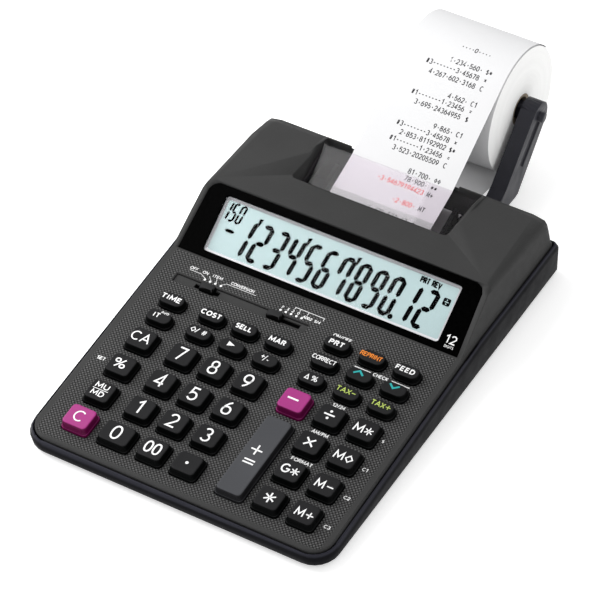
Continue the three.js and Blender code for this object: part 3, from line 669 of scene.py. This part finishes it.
DIGIT = dict(h=7.5, wt=.86, cx=-.35, cy=.3)
KEYS = [
    ("key_time", "a0", "t1", SMALL, [T("TIME", 2.5, .62, -.5, .4, 1.45, .20)], "white"),
    ("key_item_count", "a0", "t2", SMALL, [T("IT", 2.4, .5, -1.3, .2, 1.3, .2), T("AVG", 1.2, .24, 1.9, 2.75, 1.4, .14)], "white"),
    ("key_ca", "a0", "r0", BIG, [T("CA", 5.1, .66, -.4, .5, 1.22, .14)], "white"),
    ("key_percent", "a0", "r1", BIG, [T("%", 5.2, .7, -.6, .4, 1.46)], "white"),
    ("key_mark_up", "a0", "r2", BIG, [T("MU", 2.7, .52, -.4, 2.75, 1.5, .2), line((-4.5, .5), (3.7, .5), wt=.32), T("MD", 2.7, .52, -.4, -1.8, 1.42, .2)], "white"),
    ("key_clear", "a0", "r3", BIG, [T("C", 5.9, .7, -.1, .2, 1.22)], "white"),
    ("key_cost", "a1", "t1", SMALL, [T("COST", 2.5, .62, -.4, .4, 1.28, .2)], "white"),
    ("key_non_add", "a1", "t2", SMALL, [lozenge(-3.2, .6, 1.2, 1.3, .42), T("/#", 2.7, .42, 1.2, .6, 1.35, .5)], "white"),
    ("key_7", "a1", "r0", BIG, [T("7", **DIGIT)], "white"),
    ("key_4", "a1", "r1", BIG, [T("4", **DIGIT)], "white"),
    ("key_1", "a1", "r2", BIG, [T("1", **DIGIT)], "white"),
    ("key_0", "a1", "r3", dict(BIG, w=17.6, tw=14.9), [T("0", **DIGIT)], "white"),
    ("key_sell", "a2", "t1", SMALL, [T("SELL", 2.4, .6, -.4, .2, 1.25, .2)], "white"),
    ("key_shift_digit", "a2", "t2", SMALL, [tri([(-2.2, -.9), (1.5, .5), (-2.2, 1.9)])], "white"),
    ("key_8", "a2", "r0", BIG, [T("8", **DIGIT)], "white"),
    ("key_5", "a2", "r1", BIG, [T("5", **DIGIT)], "white"),
    ("key_2", "a2", "r2", BIG, [T("2", **DIGIT)], "white"),
    ("key_00", "a2", "r3", BIG, [T("00", 6.2, .86, -.2, .3, .9, .18)], "white"),
    ("key_margin", "a3", "t1", SMALL, [T("MAR", 2.5, .6, -.5, .4, 1.3, .2)], "white"),
    ("key_sign", "a3", "t2", SMALL, [T("+", 2.4, .42, -1.7, 1.2), T("/", 3.2, .36, -.2, .6), T("-", 2.6, .42, 1.4, 0)], "white"),
    ("key_9", "a3", "r0", BIG, [T("9", **DIGIT)], "white"),
    ("key_6", "a3", "r1", BIG, [T("6", **DIGIT)], "white"),
    ("key_3", "a3", "r2", BIG, [T("3", **DIGIT)], "white"),
    ("key_point", "a3", "r3", BIG, [dot(-.1, .1, .78)], "white"),
    ("key_print", "a4", "t0", SMALL, [T("PRT", 2.5, .6, 0, -.3, 1.35, .2)], "white"),
    ("key_correct", "a4", "t1", SMALL, [T("CORRECT", 2.3, .38, -.2, .5, .98, .14)], "white"),
    ("key_delta_percent", "a4", "t2", SMALL, [T("d", 2.7, .4, -2.0, .1, 1.1), T("%", 2.9, .38, 1.8, .2, 1.3)], "white"),
    ("key_minus", "a4", "r0", BIG, [line((-3.6, .4), (2.1, .4), wt=.92)], "white"),
    ("key_plus_equals", "a4", None, dict(w=15.2, d=49.4, r=2.2, tw=12.8, td=46.8),
     [line((-3.3, 3.1), (2.5, 3.1), wt=.8), line((-.4, .2), (-.4, 6.0), wt=.8), line((-3.1, -3.3), (2.5, -3.3), wt=.8), line((-3.1, -5.1), (2.5, -5.1), wt=.8)], "white"),
    ("key_reprint", "a5", "t0", SMALL, [T("REPRINT", 2.3, .42, -.6, .3, 1.02, .14)], "orange"),
    ("key_up", "a5", "t1", SMALL, [line((-3.2, -.1), (-.7, 2.0), (1.8, -.1), wt=.95)], "teal"),
    ("key_tax_minus", "a5", "t2", SMALL, [T("TAX", 2.6, .44, -1.7, .7, 1.28, .14), line((2.5, .7), (4.4, .7), wt=.42)], "lime"),
    ("key_divide", "a5", "r0", BIG, [line((-3.0, .3), (2.5, .3), wt=.85), dot(-.25, 2.4, .68), dot(-.25, -1.8, .68)], "white"),
    ("key_multiply", "a5", "r1", BIG, [line((-2.4, -1.9), (2.1, 2.4), wt=.85), line((-2.4, 2.4), (2.1, -1.9), wt=.85)], "white"),
    ("key_grand_total", "a5", "r2", BIG, [T("G", 4.5, .76, -2.1, .3, 1.2), star(2.7, .1, 2.15, .56)], "white"),
    ("key_total", "a5", "r3", BIG, [star(.1, .2, 2.9, .74)], "white"),
    ("key_feed", "a6", "t0", SMALL, [T("FEED", 2.4, .56, -.7, .3, 1.35, .22)], "white"),
    ("key_down", "a6", "t1", SMALL, [line((-2.9, 2.0), (-.4, -.1), (2.1, 2.0), wt=.95)], "teal"),
    ("key_tax_plus", "a6", "t2", SMALL, [T("TAX", 2.6, .44, -1.7, .7, 1.2, .14), line((2.3, .7), (4.7, .7), wt=.42), line((3.5, -.5), (3.5, 1.9), wt=.42)], "lime"),
    ("key_memory_total", "a6", "r0", BIG, [T("M", 4.2, .7, -2.5, -.1, 1.25), star(2.6, -.1, 2.2, .56)], "white"),
    ("key_memory_subtotal", "a6", "r1", BIG, [T("M", 4.2, .7, -2.5, -.1, 1.25), lozenge(2.6, -.2, 1.75, 1.9, .6)], "white"),
    ("key_memory_minus", "a6", "r2", BIG, [T("M", 4.2, .7, -1.9, -.3, 1.2), line((1.6, -.3), (4.8, -.3), wt=.62)], "white"),
    ("key_memory_plus", "a6", "r3", BIG, [T("M", 4.2, .7, -1.8, -.5, 1.15), line((1.4, -.5), (5.0, -.5), wt=.62), line((3.2, -2.3), (3.2, 1.3), wt=.62)], "white"),
]
for name, col, row, kind, parts, mat in KEYS:
    x = COL[col] - (1.5 if name == "key_0" else 0)
    s = (ROW["r1"] + ROW["r3"]) / 2 if row is None else ROW[row]
    km, ks = {"key_clear": ("key_magenta",) * 2, "key_minus": ("key_magenta",) * 2, "key_plus_equals": ("key_grey",) * 2}.get(name, ("key", "key_black"))
    lift = 0.0
    if km == "key_magenta":
        lift = 0.7
        kind = dict(kind, tw=12.6, td=11.6)
    cap(name, x, s, mat=km, slot=ks, lift=lift, **kind)
    legend(name, x, s, parts, mat, name, lift)

# ---------------------------------------------------------------- print on the panel
p0, p1 = 1.50, 1.625


def W(s, x, y, h, wt, sq=1.0, tr=.16):
    return text(s, h, wt, p0, p1, x, y, sq, tr)


def L(*pts, wt=.28):
    return ribbon(list(pts), wt, p0, p1)


panel_print = [
    W("SET", -72.0, 55.2, 1.7, .38, 1.2), W("12/24", 42.6, 80.5, 1.7, .36, 1.15), W("AM/PM", 42.9, 62.8, 1.7, .38, 1.2),
    W("FORMAT", 43.9, 44.9, 1.7, .38, 1.3), W("ON/OFF", 23.2, 116.8, 1.7, .38, 1.25), W("CHECK", 50.9, 104.4, 1.7, .38, 1.15),
    L((36.8, 104.7), (45.4, 104.6), wt=.5), L((56.7, 104.6), (66.2, 104.5), wt=.5),
    W("$", 71.0, 71.9, 1.7, .34, 1.2), W("C1", 72.0, 54.0, 1.7, .34, 1.2), W("C2", 72.7, 36.3, 1.7, .34, 1.2), W("C3", 73.1, 18.1, 1.7, .34, 1.2),
    W("OFF", -62.3, 122.4, 1.55, .27, 1.2), W("ON", -55.9, 122.5, 1.55, .27, 1.2), W("ITEM", -49.2, 122.6, 1.55, .27, 1.25), W("CONVERSION", -35.2, 122.5, 1.55, .27, 1.05),
    L((-64.0, 120.9), (-57.6, 120.9), (-54.1, 119.2), wt=.2), L((-53.2, 121.4), (-51.1, 119.2), wt=.2), L((-49.0, 121.4), (-48.2, 119.2), wt=.2), L((-27.0, 120.9), (-43.2, 120.9), (-45.1, 119.2), wt=.2),
    W("F", -11.7, 120.6, 1.4, .3, 1.1), W("3", -8.9, 120.6, 1.4, .3, 1.1), W("2", -6.1, 120.6, 1.4, .3, 1.1), W("0", -3.2, 120.6, 1.4, .3, 1.1),
    W("ADD2", 2.2, 119.9, 1.4, .3, 1.05), W("5/4", 7.6, 119.9, 1.4, .3, 1.1),
    L((-6.1, 121.9), (-6.1, 123.2), (9.6, 123.2), (9.6, 121.6)), L((-3.2, 121.9), (-3.2, 123.2)), L((1.2, 121.3), (1.2, 123.2)),
] + [dot(x, 118.6, .62, p0, p1) for x in (-54.1, -51.1, -48.2, -45.1, -11.9, -9.0, -6.1, -3.2, -.3)]
v, f = join(panel_print)
piece("panel_print", v, f, on_panel(), "case", "white", 20)
# black slab along the rear and left step of the switch strip: painted shadow
v, f = join([ribbon([(-68.25, 111.4), (-68.25, 116.45), (5.0, 116.45)], .62, .95, 1.61)])
piece("strip_shadow_line", v, f, on_panel(), "case", "painted_shadow", 20)

# ---------------------------------------------------------------- display
C0 = (0.0, 18.6)


def ray_loop(poly, angles):
    """points where rays from the display centre cross a closed outline"""
    out = []
    for a in angles:
        d = (math.cos(a), math.sin(a))
        best = None
        for i in range(len(poly)):
            (x1, y1), (x2, y2) = poly[i], poly[(i + 1) % len(poly)]
            ex, ey = x2 - x1, y2 - y1
            det = d[0] * -ey + ex * d[1]
            if abs(det) < 1e-12:
                continue
            qx, qy = x1 - C0[0], y1 - C0[1]
            t = (qx * -ey + ex * qy) / det
            k = (d[0] * qy - d[1] * qx) / det
            if t > 0 and -1e-9 <= k <= 1 + 1e-9 and (best is None or t > best):
                best = t
        out.append((C0[0] + d[0] * best, C0[1] + d[1] * best))
    return out


def loops(outer, inner):
    ang = sorted({round(math.atan2(y - C0[1], x - C0[0]), 9) for x, y in outer + inner})
    return ray_loop(outer, ang), ray_loop(inner, ang)


def ring_solid(levels):
    """closed frame from loops of equal length, last joined back to the first"""
    n, k = len(levels[0]), len(levels)
    v = [p for lv in levels for p in lv]
    f = [(a * n + i, a * n + (i + 1) % n, ((a + 1) % k) * n + (i + 1) % n, ((a + 1) % k) * n + i) for a in range(k) for i in range(n)]
    return v, f


def window_shape(g):
    half = [(76.9 - g, .6 + g), (75.2 - g, 32.4 - g), (74.9 - g, 33.8 - g), (74.2 - g, 35.1 - g), (73.1 - g, 36.2 - g), (71.9 - g, 36.9 - g), (70.4 - g, 37.25 - g)]
    return half + [(-x, y) for x, y in reversed(half)]


def z_of(loop, n):
    return [(x, y, n) for x, y in loop]


hole = rrect(129.6, 28.9, 1.6, 5, 0, 18.5)
o0, i0 = loops(window_shape(.32), hole)
shrink = lambda lp, k: [(C0[0] + (x - C0[0]) * (1 - k / max(1, math.hypot(x - C0[0], y - C0[1]))), C0[1] + (y - C0[1]) * (1 - k / max(1, math.hypot(x - C0[0], y - C0[1])))) for x, y in lp]
v, f = ring_solid([z_of(o0, -1.58), z_of(o0, -.22), z_of(shrink(o0, .22), 0), z_of(shrink(i0, -.15), 0), z_of(i0, -.15), z_of(i0, -1.58)])
bezel = piece("display_bezel", v, f, on_slope(), "case", "window", 30)
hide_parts("display_window")
v, f = skin([[(x, y, n) for x, y in rrect(129.4, 28.7, 1.5, 5, 0, 18.5)] for n in (-1.5, -.35)])
piece("display_pane", v, f, on_slope(), "case", "pane", 30)
inner = rrect(126.6, 26.0, .8, 5, 0, 18.45)
o1, i1 = loops(rrect(129.3, 28.6, 1.4, 5, 0, 18.5), inner)
v, f = ring_solid([z_of(o1, -2.17), z_of(o1, -1.62), z_of(shrink(o1, .55), -1.62), z_of(shrink(i1, -.12), -2.12), z_of(i1, -2.17)])
piece("lcd_surround", v, f, on_slope(), "case", "lcd_frame", 25)

SEG = {"0": "abcdef", "1": "bc", "2": "abged", "3": "abgcd", "4": "fgbc", "5": "afgcd", "6": "afgedc", "7": "fabc", "8": "abcdefg", "9": "gfabcd", "-": "g"}


def seven(ch, x, y, w, h, t, skew, z0=-2.195, z1=-2.10):
    """one character of the display from closed six-sided segments; x, y is its lower left"""
    g, out, m = t * .16, [], h / 2
    def hor(yy):
        return [(g + t * .35, yy), (g + t * .85, yy + t / 2), (w - g - t * .85, yy + t / 2), (w - g - t * .35, yy), (w - g - t * .85, yy - t / 2), (g + t * .85, yy - t / 2)]
    def ver(xx, ya, yb):
        return [(xx, ya + g), (xx + t / 2, ya + g + t * .5), (xx + t / 2, yb - g - t * .5), (xx, yb - g), (xx - t / 2, yb - g - t * .5), (xx - t / 2, ya + g + t * .5)]
    c = t / 2
    shapes = {"a": hor(h - c), "g": hor(m), "d": hor(c), "f": ver(c, m, h - c * .6), "b": ver(w - c, m, h - c * .6), "e": ver(c, c * .6, m), "c": ver(w - c, c * .6, m)}
    for k in SEG[ch]:
        p = [(x + px + py * skew, y + py) for px, py in shapes[k]]
        out.append(skin([[(a, b, z0) for a, b in p], [(a, b, z1) for a, b in p]]))
    return out


segs = []
for k, ch in enumerate("123456789012"):
    segs += seven(ch, -52.75 + 9.08 * k, 6.4, 7.0, 20.4, 2.3, .106)
for k in (0, 3, 6):
    x = -52.6 + 9.08 * k + 9.9
    p = [(x + .3, 28.4), (x - .7, 24.2), (x - 1.5, 24.2), (x - 1.9, 28.0)]
    segs.append(skin([[(a, b, -2.195) for a, b in reversed(p)], [(a, b, -2.10) for a, b in reversed(p)]]))
segs.append(dot(37.0, 7.4, 1.3, -2.195, -2.10))
for ch, x in (("1", -64.2), ("5", -60.5), ("0", -56.6)):
    segs += seven(ch, x, 21.4, 3.3, 9.9, 1.12, .106)
p = [(-59.2, 17.2), (-57.9, 18.1), (-54.9, 18.1), (-53.6, 17.2), (-54.9, 16.3), (-57.9, 16.3)]
segs.append(skin([[(a, b, -2.195) for a, b in reversed(p)], [(a, b, -2.10) for a, b in reversed(p)]]))
segs.append(text("PRT REV", 2.6, .7, -2.195, -2.10, 48.9, 29.3, .82, .17))
tile = rrect(3.8, 3.7, .7, 4, 59.9, 23.4)
segs.append(skin([z_of(tile, -2.195), z_of(tile, -2.10)]))
v, f = join(segs)
piece("lcd_segments", v, f, on_slope(), "case", "segment", 20)
v, f = join([ribbon([(58.9, 23.4), (60.9, 23.4)], .45, -2.11, -2.06), dot(59.9, 24.4, .32, -2.11, -2.06, 10), dot(59.9, 22.4, .32, -2.11, -2.06, 10)])
piece("lcd_tile_mark", v, f, on_slope(), "case", "lcd", 20)
v, f = join([text("12", 4.0, .56, -.06, .02, 70.5, 7.4, 1.12, .16), text("DIGITS", 1.15, .18, -.06, .02, 70.9, 3.8, 1.05, .16)])
piece("window_print", v, f, on_slope(), "case", "white", 20)

# ---------------------------------------------------------------- paper
PC, PR = (79.0, 18.35), 6.5
RC, RR = (169.5, 32.0), 33.35
LEAN = math.atan2(34.6 - 24.9, 101.0 - 70.6)
INLET, TEAR = (109.6, 10.3), (101.8, 32.15)


def tangent(a, c, r, side):
    dy, dz = c[0] - a[0], c[1] - a[1]
    dist = math.hypot(dy, dz)
    q = math.atan2(dz, dy) + side * math.asin(r / dist)
    ln = math.sqrt(dist * dist - r * r)
    return (a[0] + ln * math.cos(q), a[1] + ln * math.sin(q))


def arc_yz(c, r, a0, a1, n):
    return [(c[0] + r * math.cos(a0 + (a1 - a0) * i / n), c[1] + r * math.sin(a0 + (a1 - a0) * i / n)) for i in range(n + 1)]


def straight(a, b, n):
    return [(a[0] + (b[0] - a[0]) * i / n, a[1] + (b[1] - a[1]) * i / n) for i in range(n)]


low, under, over = tangent(INLET, RC, RR, -1), tangent(INLET, PC, PR, 1), tangent(TEAR, RC, RR, 1)
a_under = math.atan2(under[1] - PC[1], under[0] - PC[0])
a_top = math.pi / 2 + LEAN - 2 * math.pi
a_over = math.atan2(over[1] - RC[1], over[0] - RC[0])
top_arc = arc_yz(PC, PR, a_under, a_top, 26)
feed = straight(low, INLET, 16) + straight(INLET, top_arc[0], 8) + top_arc[:-1]
deck = straight(top_arc[-1], TEAR, 10)
out_run = straight(TEAR, over, 26) + arc_yz(RC, RR, a_over, math.radians(33), 36)
path = feed + deck + out_run
n_tear = len(feed) + len(deck)
run = [0.0]
for a, b in zip(path[:-1], path[1:]):
    run.append(run[-1] + math.hypot(b[0] - a[0], b[1] - a[1]))
normals = []
for i in range(len(path)):
    a, b = path[max(i - 1, 0)], path[min(i + 1, len(path) - 1)]
    ln = math.hypot(b[0] - a[0], b[1] - a[1])
    normals.append((-(b[1] - a[1]) / ln, (b[0] - a[0]) / ln))


def at_tape(v, off):
    """point v mm past the tearing edge, off mm out of the printed face"""
    g = min(max(run[n_tear] + v, 0), run[-1])
    i = max(k for k in range(len(run) - 1) if run[k] <= g)
    t = (g - run[i]) / (run[i + 1] - run[i])
    y = path[i][0] + (path[i + 1][0] - path[i][0]) * t
    z = path[i][1] + (path[i + 1][1] - path[i][1]) * t
    ny = normals[i][0] + (normals[i + 1][0] - normals[i][0]) * t
    nz = normals[i][1] + (normals[i + 1][1] - normals[i][1]) * t
    return y + ny * off, z + nz * off


half_w = 57.0 / 2 - .6
rings = []
for (y, z), (ny, nz) in zip(path, normals):
    h = .06
    rings.append([(-half_w, y - ny * h, z - nz * h), (half_w, y - ny * h, z - nz * h), (half_w, y + ny * h, z + nz * h), (-half_w, y + ny * h, z + nz * h)])
v, f = skin(rings)
tape = piece("paper_tape_sheet", v, f, CASE, None, "paper", 60)
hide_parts("paper_tape")
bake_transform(tape)


def mono(string, right_x, v0, mat_height=2.5, pitch=1.83, weight=.42):
    """right-aligned, evenly spaced printed characters wrapped on to the tape"""
    out, n = [], len(string)
    for i, ch in enumerate(string):
        adv, lines = G[ch]
        cx = right_x - (n - 1 - i) * pitch - pitch / 2
        for ln in lines:
            dense = []
            for a, b in zip(ln[:-1], ln[1:]):
                dense.append(a)
            dense.append(ln[-1])
            sx = 1.36 / max(.6, adv)
            pv, pf = ribbon([(cx + (x - adv / 2) * sx, (y - .5) * mat_height) for x, y in dense], {":": .66, "-": .5}.get(ch, weight), .065, .085)
            out.append(([(x, *at_tape(v0 + y, z)) for x, y, z in pv], pf))
    return out


black, red = [], []
for v0, txt, sign, is_red in [
    (71.0, "::::0::::", "", 0), (62.0, "1:234:560:", "$*", 0), (57.7, "#3-------3:45678", "x", 0), (53.2, "4:267:602:3168", "C", 0),
    (44.6, "4:562:", "C1", 0), (40.7, "#1-------1:23456", "=", 0), (36.4, "3:695:24364955", "$", 0),
    (27.9, "9:865:", "C1", 0), (23.7, "#3-------3:45678", "x", 0), (19.6, "2:853:81192902", "$*", 0), (15.4, "#1-------1:23456", "=", 0), (11.3, "3:523:20205509", "C", 0),
    (2.8, "81:700:", "oo", 0), (-1.2, "78:900:", "**", 0), (-5.3, "-3:54679194423", "M+", 1), (-13.8, "-2:800:", "MT", 1), (-22.5, "1:478:523:63", "*", 0),
]:
    (red if is_red else black).extend(mono(txt, 15.2, v0))
    if sign:
        black += mono(sign, 18.6 + len(sign) * .95, v0)
for nm, parts, mt in (("tape_print_black", black, "print"), ("tape_print_red", red, "print_red")):
    v, f = join(parts)
    ob = piece(nm, v, f, CASE, None, mt, 20)
    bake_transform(ob)

# wound roll: cut ends slightly uneven, card core inside
import random
rng = random.Random(7)
side = [(28.38 + rng.uniform(-.07, .07), 8.3 + 24.0 * i / 30) for i in range(31)]
prof = [(-x, r) for x, r in side] + [(-28.3, 32.62), (-28.0, 32.78), (28.0, 32.78), (28.3, 32.62)] + list(reversed(side))
v, f = lathe(prof, 128)
roll_m = CASE @ Matrix.Translation((0, RC[0], RC[1]))
roll = piece("paper_roll_winding", v, f, roll_m, "paper_roll", "roll", 35)
roll.data.materials.append(M["lit_roll_end"])
for p in roll.data.polygons:
    if abs(p.normal.x) > .6:
        p.material_index = 1
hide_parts("paper_roll")
v, f = lathe([(-28.2, 6.55), (-28.2, 8.2), (28.2, 8.2), (28.2, 6.55)], 64)
piece("paper_roll_core", v, f, roll_m, "paper_roll", "core", 35)

# tinted sheet under the front of the lid: painted shade that darkens the band where the paper curves down over the
# platen
LID = frame_matrix(0, 0, 0, (70.6, 24.9), LEAN)
v, f = skin([[(x, y, n) for x, y in rrect(57.2, 11.8, .8, 4, 0, 7.1)] for n in (-1.72, -1.61)])
piece("lid_shade_sheet", v, f, LID, "printer_cover", "strip", 30)

# ---------------------------------------------------------------- feet
for nm, x, y in (("foot_pad_fl", -66, -96.35), ("foot_pad_fr", 66, -96.35), ("foot_pad_rl", -66, 96.35), ("foot_pad_rr", 66, 96.35)):
    prof = [(0, 0), (5.0, 0), (5.75, .12), (6.1, .5), (6.15, 1.95), (0, 1.95)]
    rings = [[(r * math.cos(2 * math.pi * i / 40), r * math.sin(2 * math.pi * i / 40), z) for i in range(40)] for r, z in prof[1:-1]]
    v, f = skin(rings)
    piece(nm, v, f, Matrix.Translation(pt(x, y, -2.0)) @ Matrix.Scale(MM, 4), "case", "foot", 40)

# ---------------------------------------------------------------- stage
fm = bpy.data.meshes.new("floor")
fm.from_pydata([(-6, -6, 0), (6, -6, 0), (6, 6, 0), (-6, 6, 0)], [], [(0, 1, 2, 3)])
fm.materials.append(M["floor"])
floor = bpy.data.objects.new("floor", fm)
bpy.context.scene.collection.objects.link(floor)
world = bpy.data.worlds.new("studio")
world.use_nodes = True
world.node_tree.nodes["Background"].inputs[0].default_value = (1, 1, 1, 1)
world.node_tree.nodes["Background"].inputs[1].default_value = 0.70
bpy.context.scene.world = world


def area(name, loc, target, size, power):
    d = bpy.data.lights.new(name, "AREA")
    d.shape = "RECTANGLE"
    d.size, d.size_y = size
    d.energy = power
    o = bpy.data.objects.new(name, d)
    o.location = loc
    o.rotation_euler = (Vector(target) - Vector(loc)).to_track_quat("-Z", "Y").to_euler()
    bpy.context.scene.collection.objects.link(o)


area("key_light", (-0.44, -0.04, 0.44), (0.0, -0.04, 0.02), (0.5, 0.6), 4.8)
area("right_light", (0.95, 0.15, 0.2), (0, 0.1, 0.05), (0.6, 0.36), 0.6)
area("fill_light", (0.3, -1.2, 1.2), (0, 0, 0), (1.2, 1.2), 3.5)
